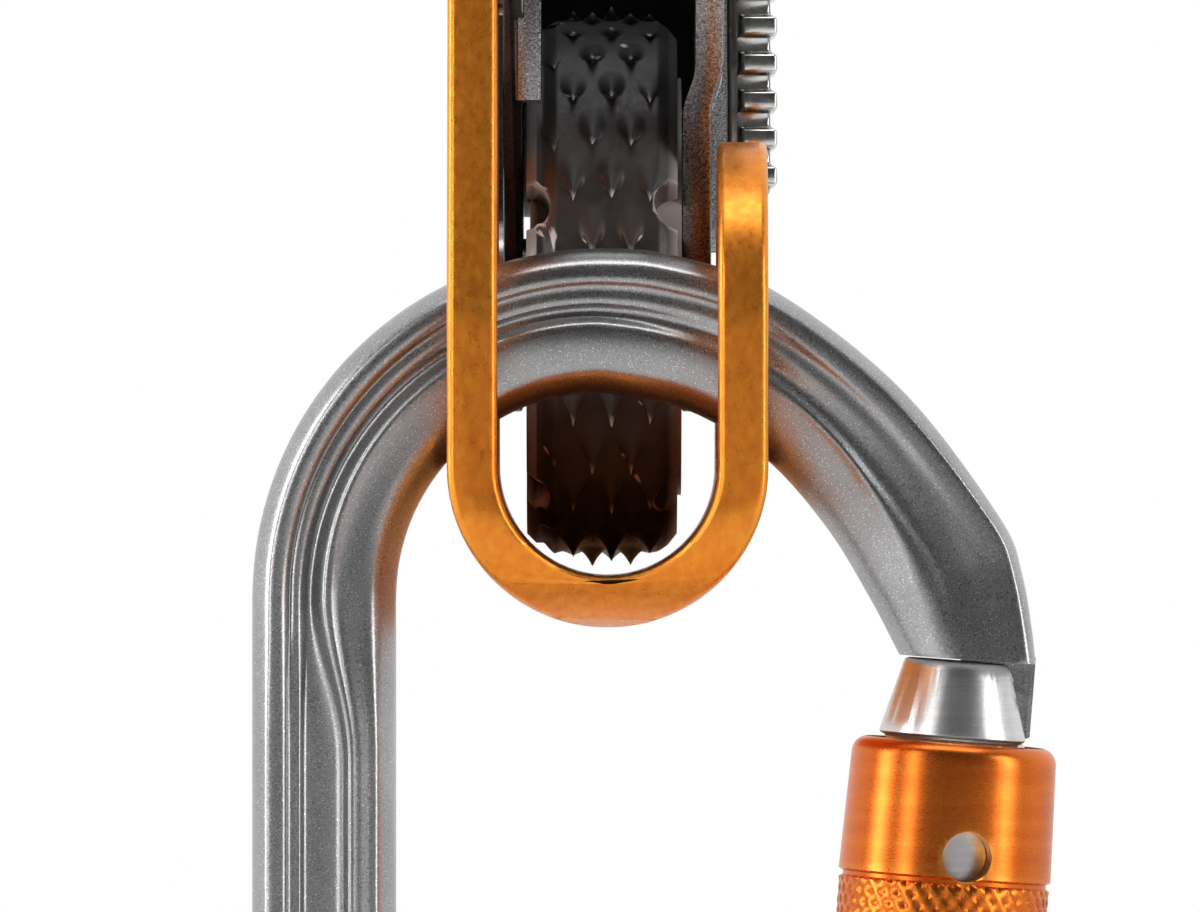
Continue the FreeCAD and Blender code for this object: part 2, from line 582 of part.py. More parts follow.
def loop_face():
    """The connector's side view: the bow, spine and foot, open on the gate's side."""
    y = EYE_Y
    left = BOW_X - BOW_RADIUS
    spine = BOW_X - BOW_INSIDE
    crest = V(BOW_X, y, BOW_Z + BOW_RADIUS)
    slant = math.sqrt(0.5)
    shoulder = [crest,
                V(BOW_X + 13.5, y, BOW_Z + BOW_RADIUS - 3.2),
                V(BOW_X + 23.9, y, BOW_Z + BOW_RADIUS - 11.2),
                V(BOW_X + 31.9, y, BOW_Z + BOW_RADIUS - 21.6),
                V(BOW_X + 34.6, y, BOW_Z - 2.5)]
    nose_out = gate_point(6.0, GATE_TOP + 0.4)
    nose_in = gate_point(-5.0, GATE_TOP + 0.4)
    inner_top = V(BOW_X, y, BOW_Z + BOW_INSIDE)
    throat = [nose_in,
              V(BOW_X + 21.5, y, BOW_Z - 0.1),
              V(BOW_X + 13.1, y, BOW_Z + BOW_INSIDE - 5.3),
              inner_top]
    foot = V(BOW_X, y, FOOT_Z)
    heel = gate_point(GATE_RADIUS, -HEEL_DROP)
    inner_heel = gate_point(-GATE_RADIUS, -HEEL_DROP)
    edges = [
        Part.Arc(V(left, y, BOW_Z), V(BOW_X - BOW_RADIUS * slant, y, BOW_Z + BOW_RADIUS * slant),
                 crest).toShape(),
        curve(shoulder, V(1, 0, 0), V(0.05, 0, -1)),
        Part.makeLine(shoulder[-1], nose_out),
        Part.makeLine(nose_out, nose_in),
        curve(throat, V(-0.3, 0, 1), V(-1, 0, 0)),
        Part.Arc(inner_top, V(BOW_X - BOW_INSIDE * slant, y, BOW_Z + BOW_INSIDE * slant),
                 V(spine, y, BOW_Z)).toShape(),
        Part.makeLine(V(spine, y, BOW_Z), V(spine, y, FOOT_Z)),
        Part.Arc(V(spine, y, FOOT_Z),
                 V(BOW_X - BOW_INSIDE * slant, y, FOOT_Z - BOW_INSIDE * slant),
                 foot - V(0, 0, BOW_INSIDE)).toShape(),
        arc_off_level(foot - V(0, 0, BOW_INSIDE), inner_heel),
        Part.makeLine(inner_heel, heel),
        arc_off_level(foot - V(0, 0, BOW_RADIUS), heel),
        Part.Arc(foot - V(0, 0, BOW_RADIUS),
                 V(BOW_X - BOW_RADIUS * slant, y, FOOT_Z - BOW_RADIUS * slant),
                 V(left, y, FOOT_Z)).toShape(),
        Part.makeLine(V(left, y, FOOT_Z), V(left, y, BOW_Z)),
    ]
    return Part.Face(Part.Wire(edges))


def connector_body():
    face = loop_face()
    face.translate(V(0, -BAR_DEPTH / 2, 0))
    bar = face.extrude(V(0, BAR_DEPTH, 0))
    rims = [e for e in bar.Edges if abs(e.BoundBox.YLength) < 0.001]
    bar = bar.makeChamfer(2.0, rims)
    eye = Part.makeCylinder(5.0, 4.8, V(0, -2.4, 0), ALONG_Y)
    root = Part.makeBox(9.0, 4.8, 9.0, V(-4.5, -2.4, -9.0))
    hole = Part.makeCylinder(1.6 + SEAT, 12, V(0, -6, 0), ALONG_Y)
    tang = gate_frame(eye.fuse(root)).cut(gate_frame(hole))
    tongue = Part.makeBox(5.6, 3.8, NOSE_HEIGHT, V(-0.2, -1.9, GATE_TOP - NOSE_HEIGHT + 0.9))
    lip = Part.makeBox(0.7, 3.8, NOSE_HEIGHT + 0.5, V(5.2, -1.9, GATE_TOP - NOSE_HEIGHT + 0.35))
    bar = bar.fuse([tang, gate_frame(tongue), gate_frame(lip)])
    pocket = block(BOW_X - BOW_RADIUS + 3.2, BOW_X - BOW_INSIDE - 2.8, 0, 2.4,
                   FOOT_Z - 2.0, BOW_Z + 2.0)
    front = pocket.copy()
    front.translate(V(0, EYE_Y - BAR_DEPTH / 2 - 0.2, 0))
    pocket.translate(V(0, EYE_Y + BAR_DEPTH / 2 - 2.2, 0))
    return bar.cut([front, pocket]).removeSplitter()


def gate_rivet():
    shank = Part.makeCylinder(1.6, BAR_DEPTH + 0.2, V(0, -BAR_DEPTH / 2 - 0.1, 0), ALONG_Y)
    return gate_frame(shank)


# ---- gate ----

def gate_bar():
    lower = Part.makeCylinder(GATE_RADIUS - 0.8, 16.0, V(0, 0, 0))
    upper = Part.makeCylinder(GATE_RADIUS, GATE_TOP - NOSE_HEIGHT - 16.0, V(0, 0, 16.0))
    eye = Part.makeCylinder(GATE_RADIUS - 0.4, 10.4, V(0, -5.2, 0), ALONG_Y)
    nose = Part.makeCone(GATE_RADIUS + 0.6, GATE_RADIUS - 1.1, NOSE_HEIGHT,
                         V(0, 0, GATE_TOP - NOSE_HEIGHT))
    bar = eye.fuse([lower, upper, nose])
    fork = Part.makeBox(20, 5.4, 14.0, V(-10, -2.7, -8.0))
    slot = Part.makeBox(12, 4.6, 10, V(-1.2, -2.3, GATE_TOP - NOSE_HEIGHT - 0.05))
    rivet = Part.makeCylinder(1.6 + RUN, 20, V(0, -10, 0), ALONG_Y)
    bore = Part.makeCylinder(2.2, BORE_TOP - 5.0, V(0, 0, 5.0))
    return gate_frame(bar.cut([fork, slot, rivet, bore]))


def gate_plunger():
    return gate_frame(Part.makeCylinder(2.2 - SEAT, 8.0, V(0, 0, 5.4)))


def upright_coil(radius, wire, z0, z1, turns):
    pitch = (z1 - z0 - 2 * wire) / turns
    path = Part.Wire(Part.makeHelix(pitch, pitch * turns, radius).Edges)
    ring = Part.Wire(Part.makeCircle(wire, V(radius, 0, 0), V(0, 1, 0)))
    spring = path.makePipeShell([ring], True, True)
    spring.translate(V(0, 0, z0 + wire))
    return gate_frame(spring)


def gate_spring():
    return upright_coil(1.6, 0.35, 13.4 + SEAT, BORE_TOP - SEAT, 8)


def sleeve_stop_ring():
    ring = Part.makeCylinder(GATE_RADIUS + 0.6, 1.4, V(0, 0, 6.3))
    return gate_frame(ring.cut(Part.makeCylinder(GATE_RADIUS - 0.8 + SEAT, 3, V(0, 0, 6.0))))


def sleeve_spring():
    return upright_coil(GATE_RADIUS - 0.1, 0.45, 7.7 + SEAT, COLLAR_BOTTOM - 0.8, 3)


def sleeve_collar():
    inside = GATE_RADIUS + 0.08
    length = COLLAR_TOP - COLLAR_BOTTOM
    collar = Part.makeCylinder(inside + COLLAR_WALL, length, V(0, 0, COLLAR_BOTTOM))
    return gate_frame(collar.cut(Part.makeCylinder(inside, 40, V(0, 0, 10))))


def lock_sleeve():
    inside = GATE_RADIUS + 0.08 + COLLAR_WALL + 0.08
    length = SLEEVE_TOP - SLEEVE_BOTTOM
    sleeve = Part.makeCylinder(SLEEVE_RADIUS, length, V(0, 0, SLEEVE_BOTTOM))
    rims = [e for e in sleeve.Edges if isinstance(e.Curve, Part.Circle)]
    sleeve = sleeve.makeFillet(1.2, rims)
    sleeve = sleeve.cut(Part.makeCylinder(inside, length + 2, V(0, 0, SLEEVE_BOTTOM - 1)))
    hole = Part.makeCylinder(2.0, 20, V(0, 0, SLEEVE_TOP - 9.0), V(0.19, -1, 0))
    grooves = []
    for n in range(5):
        z0 = SLEEVE_BOTTOM + 5.0 + 2.6 * n
        ring = Part.makeCylinder(SLEEVE_RADIUS + 1, 0.9, V(0, 0, z0))
        grooves.append(ring.cut(Part.makeCylinder(SLEEVE_RADIUS - 0.35, 3, V(0, 0, z0 - 1))))
    return gate_frame(sleeve.cut([hole] + grooves))


MAKERS = {
    "left_cheek": left_cheek,
    "right_cheek": right_cheek,
    "back_bridge": back_bridge,
    "frame_screws": frame_screws,
    "pivot_pin": pivot_pin,
    "pivot_screw": pivot_screw,
    "arm_spring": arm_spring,
    "stop_pin": stop_pin,
    "wheel_axle": wheel_axle,
    "axle_screw": axle_screw,
    "axle_spacers": axle_spacers,
    "catch_pin": catch_pin,
    "ratchet_ring": ratchet_ring,
    "ring_bolts": ring_bolts,
    "bearing_inner_race": bearing_inner_race,
    "bearing_outer_race": bearing_outer_race,
    "bearing_balls": bearing_balls,
    "toothed_rim": toothed_rim,
    "wheel_hub": wheel_hub,
    "hub_rivets": hub_rivets,
    "flyweight_pins": flyweight_pins,
    "flyweight_a": flyweight,
    "flyweight_b": flyweight_b,
    "arm_plate": arm_plate,
    "arm_bush": arm_bush,
    "catch_lever": catch_lever,
    "catch_spring": catch_spring,
    "connector_body": connector_body,
    "gate_rivet": gate_rivet,
    "gate_bar": gate_bar,
    "gate_plunger": gate_plunger,
    "gate_spring": gate_spring,
    "sleeve_stop_ring": sleeve_stop_ring,
    "sleeve_spring": sleeve_spring,
    "sleeve_collar": sleeve_collar,
    "lock_sleeve": lock_sleeve,
}

os.makedirs("parts", exist_ok=True)
for name, make in MAKERS.items():
    keep(make(), name)
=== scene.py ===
import math

import bmesh
import bpy
from mathutils import Matrix, Vector


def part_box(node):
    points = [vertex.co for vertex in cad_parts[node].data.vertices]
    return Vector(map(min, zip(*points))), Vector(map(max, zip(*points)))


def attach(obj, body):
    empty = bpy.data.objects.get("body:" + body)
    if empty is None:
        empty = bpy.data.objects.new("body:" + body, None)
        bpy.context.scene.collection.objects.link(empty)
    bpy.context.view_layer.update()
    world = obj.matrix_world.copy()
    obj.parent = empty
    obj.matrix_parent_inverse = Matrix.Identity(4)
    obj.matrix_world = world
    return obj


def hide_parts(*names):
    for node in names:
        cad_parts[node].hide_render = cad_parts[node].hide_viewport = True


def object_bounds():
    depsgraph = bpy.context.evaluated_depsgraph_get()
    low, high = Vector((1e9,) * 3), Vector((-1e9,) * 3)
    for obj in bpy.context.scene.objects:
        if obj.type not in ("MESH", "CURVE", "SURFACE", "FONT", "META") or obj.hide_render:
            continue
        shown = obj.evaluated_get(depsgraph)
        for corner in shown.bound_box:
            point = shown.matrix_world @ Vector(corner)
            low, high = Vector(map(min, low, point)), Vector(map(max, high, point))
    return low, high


# Belay device: toothed locking wheel in a dark frame, orange jaw arm, ribbed catch,
# forged oval connector with a turned gate nose and an orange lock sleeve.
# The shared frame is in metres: X across the device, Y along the rope, Z up.

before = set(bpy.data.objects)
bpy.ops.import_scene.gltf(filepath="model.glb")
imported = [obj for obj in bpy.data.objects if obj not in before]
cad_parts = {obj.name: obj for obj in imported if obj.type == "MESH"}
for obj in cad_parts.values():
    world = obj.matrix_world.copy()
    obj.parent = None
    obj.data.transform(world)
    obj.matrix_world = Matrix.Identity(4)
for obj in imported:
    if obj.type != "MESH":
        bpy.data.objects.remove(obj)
cad_low, cad_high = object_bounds()

MM = 0.001


# ---- materials ----

def new_material(name):
    made = bpy.data.materials.new(name)
    made.use_nodes = True
    nodes = made.node_tree.nodes
    return made, nodes, made.node_tree.links, nodes["Principled BSDF"]


def object_coordinates(nodes, links, stretch=(1, 1, 1), turn=(0, 0, 0)):
    coordinates = nodes.new("ShaderNodeTexCoord")
    mapping = nodes.new("ShaderNodeMapping")
    mapping.inputs["Scale"].default_value = stretch
    mapping.inputs["Rotation"].default_value = turn
    links.new(coordinates.outputs["Object"], mapping.inputs["Vector"])
    return mapping.outputs["Vector"]


def noise(nodes, links, where, scale, detail=3.0, roughness=0.55):
    pattern = nodes.new("ShaderNodeTexNoise")
    pattern.inputs["Scale"].default_value = scale
    pattern.inputs["Detail"].default_value = detail
    pattern.inputs["Roughness"].default_value = roughness
    links.new(where, pattern.inputs["Vector"])
    return pattern.outputs["Fac"]


def speckle(nodes, links, where, scale):
    """Round spots: distance to the nearest cell middle, the mask of the painted glints."""
    cells = nodes.new("ShaderNodeTexVoronoi")
    cells.inputs["Scale"].default_value = scale
    links.new(where, cells.inputs["Vector"])
    return cells.outputs["Distance"]


def ramp(nodes, links, value, stops):
    made = nodes.new("ShaderNodeValToRGB")
    steps = made.color_ramp.elements
    while len(steps) > 1:
        steps.remove(steps[-1])
    steps[0].position = stops[0][0]
    steps[0].color = stops[0][1]
    for place, colour in stops[1:]:
        steps.new(place).color = colour
    links.new(value, made.inputs["Fac"])
    return made.outputs["Color"]


def spread(nodes, links, value, low, high, from_low=0.3, from_high=0.7):
    """The pattern's value mapped to a range, for roughness."""
    made = nodes.new("ShaderNodeMapRange")
    made.inputs["From Min"].default_value = from_low
    made.inputs["From Max"].default_value = from_high
    made.inputs["To Min"].default_value = low
    made.inputs["To Max"].default_value = high
    links.new(value, made.inputs["Value"])
    return made.outputs["Result"]


def relief(nodes, links, value, height, before=None):
    made = nodes.new("ShaderNodeBump")
    made.inputs["Strength"].default_value = 1.0
    made.inputs["Distance"].default_value = height
    links.new(value, made.inputs["Height"])
    if before is not None:
        links.new(before, made.inputs["Normal"])
    return made.outputs["Normal"]


def painted_edge_highlight(nodes, links, low=0.52, high=0.60):
    """Where the surface turns a convex corner, from the mesh's own pointiness: the mask of the
    painted edge highlight.
    """
    shape = nodes.new("ShaderNodeNewGeometry")
    return spread(nodes, links, shape.outputs["Pointiness"], 0.0, 1.0, low, high)


def mix(nodes, links, share, first, second, blend="MIX"):
    made = nodes.new("ShaderNodeMix")
    made.data_type = "RGBA"
    made.blend_type = blend
    if share is None:
        made.inputs["Factor"].default_value = 1.0
    else:
        links.new(share, made.inputs["Factor"])
    for socket, value in ((made.inputs[6], first), (made.inputs[7], second)):
        if isinstance(value, tuple):
            socket.default_value = value
        else:
            links.new(value, socket)
    return made.outputs[2]


def metal(name, dark, light, rough, grain, depth, streak=(1, 1, 1), turn=(0, 0, 0),
          metallic=1.0, cloud=60.0, painted_highlight=None, coat=0.0):
    """A metal finish: clouded colour, fine grain in roughness and relief, and convex edges
    painted lighter as a painted highlight.
    """
    made, nodes, links, shader = new_material(name)
    where = object_coordinates(nodes, links, streak, turn)
    clouds = noise(nodes, links, where, cloud)
    fine = noise(nodes, links, where, grain, 2.0)
    colour = ramp(nodes, links, clouds, [(0.32, dark), (0.68, light)])
    # Convex edges and thorn tips are painted in the lighter colour: a painted highlight.
    if painted_highlight is not None:
        colour = mix(nodes, links, painted_edge_highlight(nodes, links), colour, painted_highlight)
    links.new(colour, shader.inputs["Base Color"])
    links.new(spread(nodes, links, fine, rough[0], rough[1]), shader.inputs["Roughness"])
    soft = relief(nodes, links, clouds, depth * 1.5)
    links.new(relief(nodes, links, fine, depth, soft), shader.inputs["Normal"])
    shader.inputs["Metallic"].default_value = metallic
    shader.inputs["Coat Weight"].default_value = coat
    shader.inputs["Coat Roughness"].default_value = 0.12
    return made


def blasted(name, dark, light, rough, painted_highlight, grain, depth, spark):
    """Bead-blasted alloy: near-white pin-prick glints painted over a soft grey grain."""
    made, nodes, links, shader = new_material(name)
    where = object_coordinates(nodes, links)
    clouds = noise(nodes, links, where, 140.0)
    glint_cells = speckle(nodes, links, where, spark)
    fine = noise(nodes, links, where, grain, 2.0)
    middle = tuple((a + b) / 2 for a, b in zip(dark, light))
    colour = ramp(nodes, links, fine, [(0.34, dark), (0.5, middle), (0.66, light)])
    shade = ramp(nodes, links, clouds, [(0.3, (0.82, 0.82, 0.82, 1)), (0.7, (1, 1, 1, 1))])
    colour = mix(nodes, links, None, colour, shade, "MULTIPLY")
    # Painted glints: pin-pricks painted near-white, standing for the sparkle of the blasted
    # grain.
    painted_glints = ramp(nodes, links, glint_cells, [(0.0, (1, 1, 1, 1)), (0.12, (1, 1, 1, 1)),
                                       (0.2, (0, 0, 0, 1))])
    colour = mix(nodes, links, painted_glints, colour, painted_highlight)
    links.new(colour, shader.inputs["Base Color"])
    links.new(spread(nodes, links, fine, rough[0], rough[1]), shader.inputs["Roughness"])
    links.new(relief(nodes, links, fine, depth), shader.inputs["Normal"])
    shader.inputs["Metallic"].default_value = 1.0
    return made


# The last colour of each finish is a painted highlight: lighter convex edges and thorn tips for
# the metals, pin-prick glints for the blasted alloys.
FINISHES = {
    "wheel_steel": metal("wheel_steel", (0.050, 0.048, 0.049, 1), (0.082, 0.079, 0.08, 1),
                         (0.34, 0.50), 2600.0, 0.00001, metallic=0.15, cloud=260.0,
                         painted_highlight=(0.80, 0.78, 0.78, 1)),
    "frame_plate": metal("frame_plate", (0.010, 0.010, 0.011, 1), (0.024, 0.023, 0.024, 1),
                         (0.22, 0.38), 2200.0, 0.00001, metallic=0.6, cloud=150.0,
                         painted_highlight=(0.16, 0.16, 0.16, 1)),
    "bridge_block": metal("bridge_block", (0.008, 0.008, 0.008, 1), (0.02, 0.02, 0.021, 1),
                          (0.38, 0.6), 3000.0, 0.00001, metallic=0.5, cloud=180.0,
                          painted_highlight=(0.10, 0.10, 0.10, 1)),
    "turned_steel": metal("turned_steel", (0.42, 0.42, 0.43, 1), (0.60, 0.60, 0.61, 1),
                          (0.16, 0.30), 2600.0, 0.000004, streak=(30, 1, 1), cloud=80.0),
    "granular_steel": blasted("granular_steel", (0.16, 0.16, 0.165, 1), (0.46, 0.46, 0.47, 1),
                              (0.22, 0.38), (0.9, 0.9, 0.9, 1), 5200.0, 0.00003, 3600.0),
    "orange_anodised": metal("orange_anodised", (0.74, 0.185, 0.014, 1),
                             (0.86, 0.27, 0.020, 1), (0.24, 0.38), 1900.0, 0.000006,
                             streak=(1, 1, 0.6), cloud=1100.0, metallic=0.75,
                             painted_highlight=(1.0, 0.50, 0.07, 1)),
    "sleeve_anodised": metal("sleeve_anodised", (0.64, 0.125, 0.016, 1),
                             (0.74, 0.175, 0.022, 1), (0.24, 0.33), 2600.0, 0.000003,
                             streak=(1, 1, 12), cloud=60.0, metallic=0.95,
                             painted_highlight=(0.95, 0.42, 0.07, 1)),
    "forged_alloy": blasted("forged_alloy", (0.34, 0.34, 0.345, 1), (0.47, 0.47, 0.475, 1),
                            (0.26, 0.36), (0.95, 0.95, 0.95, 1), 7000.0, 0.000006, 4200.0),
    "turned_alloy": metal("turned_alloy", (0.66, 0.66, 0.66, 1), (0.76, 0.76, 0.76, 1),
                          (0.26, 0.36), 2600.0, 0.000003, streak=(1, 1, 40), cloud=90.0),
    "spring_wire": metal("spring_wire", (0.45, 0.44, 0.42, 1), (0.62, 0.61, 0.6, 1),
                         (0.18, 0.3), 2400.0, 0.000003, cloud=200.0),
    "bush_bronze": metal("bush_bronze", (0.42, 0.26, 0.12, 1), (0.60, 0.40, 0.20, 1),
                         (0.3, 0.45), 2400.0, 0.000005, cloud=160.0),
    "rib_metal": metal("rib_metal", (0.20, 0.20, 0.195, 1), (0.32, 0.32, 0.31, 1),
                       (0.14, 0.26), 1600.0, 0.000006, cloud=160.0,
                       painted_highlight=(0.75, 0.75, 0.73, 1)),
    "catch_polymer": metal("catch_polymer", (0.012, 0.012, 0.013, 1),
                           (0.03, 0.029, 0.03, 1), (0.14, 0.28), 1400.0, 0.000008,
                           metallic=0.4, cloud=120.0, painted_highlight=(0.25, 0.25, 0.24, 1), coat=0.5),
}

FINISH_OF_NODE = {
    "left_cheek": "frame_plate",
    "right_cheek": "frame_plate",
    "back_bridge": "bridge_block",
    "frame_screws": "turned_steel",
    "pivot_pin": "turned_steel",
    "pivot_screw": "turned_steel",
    "arm_spring": "spring_wire",
    "stop_pin": "turned_steel",
    "wheel_axle": "turned_steel",
    "axle_screw": "turned_steel",
    "axle_spacers": "turned_steel",
    "catch_pin": "turned_steel",
    "ratchet_ring": "wheel_steel",
    "ring_bolts": "turned_steel",
    "bearing_inner_race": "turned_steel",
    "bearing_outer_race": "turned_steel",
    "bearing_balls": "turned_steel",
    "toothed_rim": "wheel_steel",
    "wheel_hub": "frame_plate",
    "hub_rivets": "turned_steel",
    "flyweight_pins": "turned_steel",
    "flyweight_a": "wheel_steel",
    "flyweight_b": "wheel_steel",
    "arm_plate": "orange_anodised",
    "arm_bush": "bush_bronze",
    "catch_lever": "catch_polymer",
    "catch_spring": "spring_wire",
    "connector_body": "forged_alloy",
    "gate_rivet": "turned_steel",
    "gate_bar": "turned_alloy",
    "gate_plunger": "turned_steel",
    "gate_spring": "spring_wire",
    "sleeve_stop_ring": "turned_alloy",
    "sleeve_spring": "spring_wire",
    "sleeve_collar": "turned_alloy",
    "lock_sleeve": "sleeve_anodised",
}
for node, finish in FINISH_OF_NODE.items():
    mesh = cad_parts[node].data
    mesh.materials.clear()
    mesh.materials.append(FINISHES[finish])


# ---- helpers for new pieces ----

def link(name, mesh):
    """An object for the mesh, put in the scene."""
    piece = bpy.data.objects.new(name, mesh)
    bpy.context.scene.collection.objects.link(piece)
    return piece


def finished(name, build, finishes, body, node, rounds=0):
    """Close a bmesh into a piece that stands for a CAD node."""
    mesh = bpy.data.meshes.new(name)
    build.to_mesh(mesh)
    build.free()
    piece = link(name, mesh)
    for finish in finishes:
        mesh.materials.append(FINISHES[finish])
    if rounds:
        smooth = piece.modifiers.new("smooth", "SUBSURF")
        smooth.levels = rounds
        smooth.render_levels = rounds
    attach(piece, body)
    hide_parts(node)
    return piece


def smooth_by_angle(build, degrees):
    limit = math.radians(degrees)
    for face in build.faces:
        face.smooth = True
    for edge in build.edges:
        if len(edge.link_faces) == 2 and edge.calc_face_angle(0.0) > limit:
            edge.smooth = False


def bevel(build, edges, amount, segments):
    bmesh.ops.bevel(build, geom=edges, offset=amount, offset_type="OFFSET", affect="EDGES",
                    segments=segments, profile=0.5, material=-1, clamp_overlap=False,
                    loop_slide=False)


def merged_copy(node, flat=0.5):
    """The CAD node's mesh with its corners joined and its flat faces made whole."""
    build = bmesh.new()
    build.from_mesh(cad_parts[node].data)
    bmesh.ops.remove_doubles(build, verts=build.verts, dist=2e-6)
    bmesh.ops.dissolve_limit(build, angle_limit=math.radians(flat), verts=build.verts,
                             edges=build.edges, use_dissolve_boundaries=False)
    return build


def eased(node, amount, segments, corner=30.0):
    """A CAD node's copy with every sharp corner rounded off."""
    build = merged_copy(node)
    limit = math.radians(corner)
    sharp = [e for e in build.edges if len(e.link_faces) == 2
             and abs(e.calc_face_angle_signed(0.0)) > limit]
    bevel(build, sharp, amount, segments)
    bmesh.ops.remove_doubles(build, verts=build.verts, dist=1e-6)
    smooth_by_angle(build, 35.0)
    return build


def smooth_path(points, count):
    """Evenly stepped points on a smooth curve through the given points."""
    points = [Vector(p) for p in points]
    fine = []
    for n in range(len(points) - 1):
        before = points[n - 1] if n else points[0] * 2 - points[1]
        after = points[n + 2] if n + 2 < len(points) else points[-1] * 2 - points[-2]
        for step in range(24):
            t = step / 24
            a, b = points[n], points[n + 1]
            square = (2 * before - 5 * a + 4 * b - after) * t * t
            cube = (3 * a - before - 3 * b + after) * t ** 3
            fine.append(0.5 * (2 * a + (b - before) * t + square + cube))
    fine.append(points[-1])
    return resampled(fine, count)


def resampled(line, count):
    """The line's points, moved to an even spacing."""
    lengths = [0.0]
    for a, b in zip(line, line[1:]):
        lengths.append(lengths[-1] + (b - a).length)
    out = []
    at = 0
    for n in range(count):
        want = lengths[-1] * n / (count - 1)
        while at < len(line) - 2 and lengths[at + 1] < want:
            at += 1
        span = lengths[at + 1] - lengths[at]
        out.append(line[at].lerp(line[at + 1], (want - lengths[at]) / span if span else 0.0))
    return out


def spun(profile, steps):
    """A closed ring turned from an (radius, height) outline around the upright axis."""
    build = bmesh.new()
    corners = [build.verts.new((r, 0, h)) for r, h in profile]
    edges = [build.edges.new(pair) for pair in zip(corners, corners[1:] + corners[:1])]
    bmesh.ops.spin(build, geom=corners + edges, cent=(0, 0, 0), axis=(0, 0, 1), dvec=(0, 0, 0),
                   angle=math.tau, steps=steps, use_merge=True)
    bmesh.ops.remove_doubles(build, verts=build.verts, dist=1e-7)
    bmesh.ops.recalc_face_normals(build, faces=build.faces)
    return build


# ---- forged connector ----

connector_low, connector_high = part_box("connector_body")
BOW_RADIUS = 27.9 * MM
BOW_INSIDE = 16.4 * MM
BOW = Vector((connector_low.x + BOW_RADIUS, (connector_low.y + connector_high.y) / 2,
              connector_high.z - BOW_RADIUS))
FOOT = Vector((BOW.x, BOW.y, connector_low.z + BOW_RADIUS))
GATE_LEAN = math.radians(4.5)
HINGE = Vector((BOW.x + 24.95 * MM, BOW.y, FOOT.z))
GATE_TOP = (BOW.z - 5.1 * MM - HINGE.z) / math.cos(GATE_LEAN)
GATE_PLACE = Matrix.Translation(HINGE) @ Matrix.Rotation(GATE_LEAN, 4, "Y")


def beside_gate(x, up):
    return GATE_PLACE @ Vector((x * MM, 0, up * MM))


def from_bow(x, z):
    return BOW + Vector((x * MM, 0, z * MM))


def from_foot(x, z):
    return FOOT + Vector((x * MM, 0, z * MM))


def arc_points(centre, radius, first, last, count):
    """Points along an arc in the connector's plane, between two angles in degrees."""
    points = []
    for n in range(count):
        turn = math.radians(first + (last - first) * n / (count - 1))
        points.append(centre + Vector((radius * math.cos(turn), 0, radius * math.sin(turn))))
    return points


# Half of the bar's section, from the outer side to the inner side.
# Each corner is (share of the bar's height, millimetres out from its middle plane).
NOSE_END = [(0, 0), (0, 1.6), (0, 3.6), (.012, 4.7), (.04, 5.2), (.08, 5.4), (.15, 5.4),
            (.2, 5.4), (.27, 5.4), (.31, 5.4), (.35, 5.4), (.4, 5.4), (.45, 5.4),
            (.52, 5.4), (.57, 5.4), (.62, 5.38), (.68, 5.3), (.74, 5.1), (.82, 4.7),
            (.88, 4.2), (.94, 3.4), (1, 2.0), (1, 0)]
THUMB = [(0, 0), (0, 1.6), (0, 2.8), (.02, 3.9), (.045, 4.6), (.06, 4.85), (.12, 4.9),
         (.18, 4.9), (.24, 4.9), (.28, 4.9), (.33, 4.85), (.38, 4.85), (.43, 4.9),
         (.50, 5.0), (.56, 5.3), (.63, 5.5), (.70, 5.3), (.77, 4.8), (.84, 4.3),
         (.89, 3.8), (.95, 3.0), (1, 1.9), (1, 0)]
SHOULDER = [(0, 0), (0, 1.6), (0, 2.6), (.03, 3.8), (.07, 4.8), (.09, 5.0), (.17, 5.0),
            (.22, 4.95), (.25, 4.8), (.28, 4.75), (.31, 4.75), (.35, 4.75), (.39, 4.7),
            (.50, 4.6), (.55, 4.85), (.585, 5.3), (.62, 4.9), (.66, 4.6), (.80, 4.2),
            (.86, 3.8), (.93, 3.0), (1, 1.8), (1, 0)]
CREST = [(0, 0), (0, 1.6), (.01, 3.0), (.04, 4.0), (.08, 4.7), (.115, 5.05), (.19, 5.3),
         (.235, 5.2), (.25, 4.75), (.28, 4.6), (.32, 4.65), (.36, 4.7), (.39, 4.55),
         (.405, 4.1), (.44, 3.95), (.48, 4.1), (.51, 4.7), (.54, 5.2), (.80, 4.8),
         (.86, 4.4), (.93, 3.5), (1, 2.0), (1, 0)]
SIDE_BOW = [(0, 0), (0, 1.6), (0, 3.0), (.05, 4.1), (.09, 4.9), (.13, 5.3), (.21, 5.3),
            (.25, 4.8), (.265, 4.35), (.28, 4.55), (.32, 4.6), (.34, 4.4), (.365, 4.1),
            (.39, 3.7), (.42, 3.8), (.46, 4.5), (.52, 5.35), (.60, 4.6), (.64, 4.65),
            (.82, 4.8), (.89, 4.1), (1, 2.2), (1, 0)]
SPINE = [(0, 0), (0, 1.6), (0, 2.8), (.05, 4.2), (.09, 5.0), (.11, 5.25), (.22, 5.3),
         (.238, 5.0), (.25, 4.7), (.27, 4.5), (.31, 4.5), (.335, 4.6), (.35, 4.2),
         (.37, 3.8), (.61, 3.8), (.645, 4.3), (.69, 5.1), (.735, 4.7), (.76, 4.75),
         (.86, 5.1), (.90, 4.4), (1, 2.4), (1, 0)]
HEEL_END = [(0, 0), (0, 1.6), (.01, 3.3), (.05, 4.6), (.09, 5.1), (.13, 5.3), (.2, 5.35),
            (.24, 5.35), (.3, 5.35), (.34, 5.35), (.38, 5.35), (.42, 5.35), (.46, 5.35),
            (.5, 5.35), (.55, 5.35), (.6, 5.35), (.66, 5.35), (.74, 5.35), (.83, 5.3),
            (.9, 5.0), (.96, 4.2), (1, 2.6), (1, 0)]
CRISP_CORNERS = (5, 7, 8, 12, 13, 16, 18, 19)


def blended(first, second, share):
    return [(a + (c - a) * share, b + (d - b) * share) for (a, b), (c, d) in zip(first, second)]


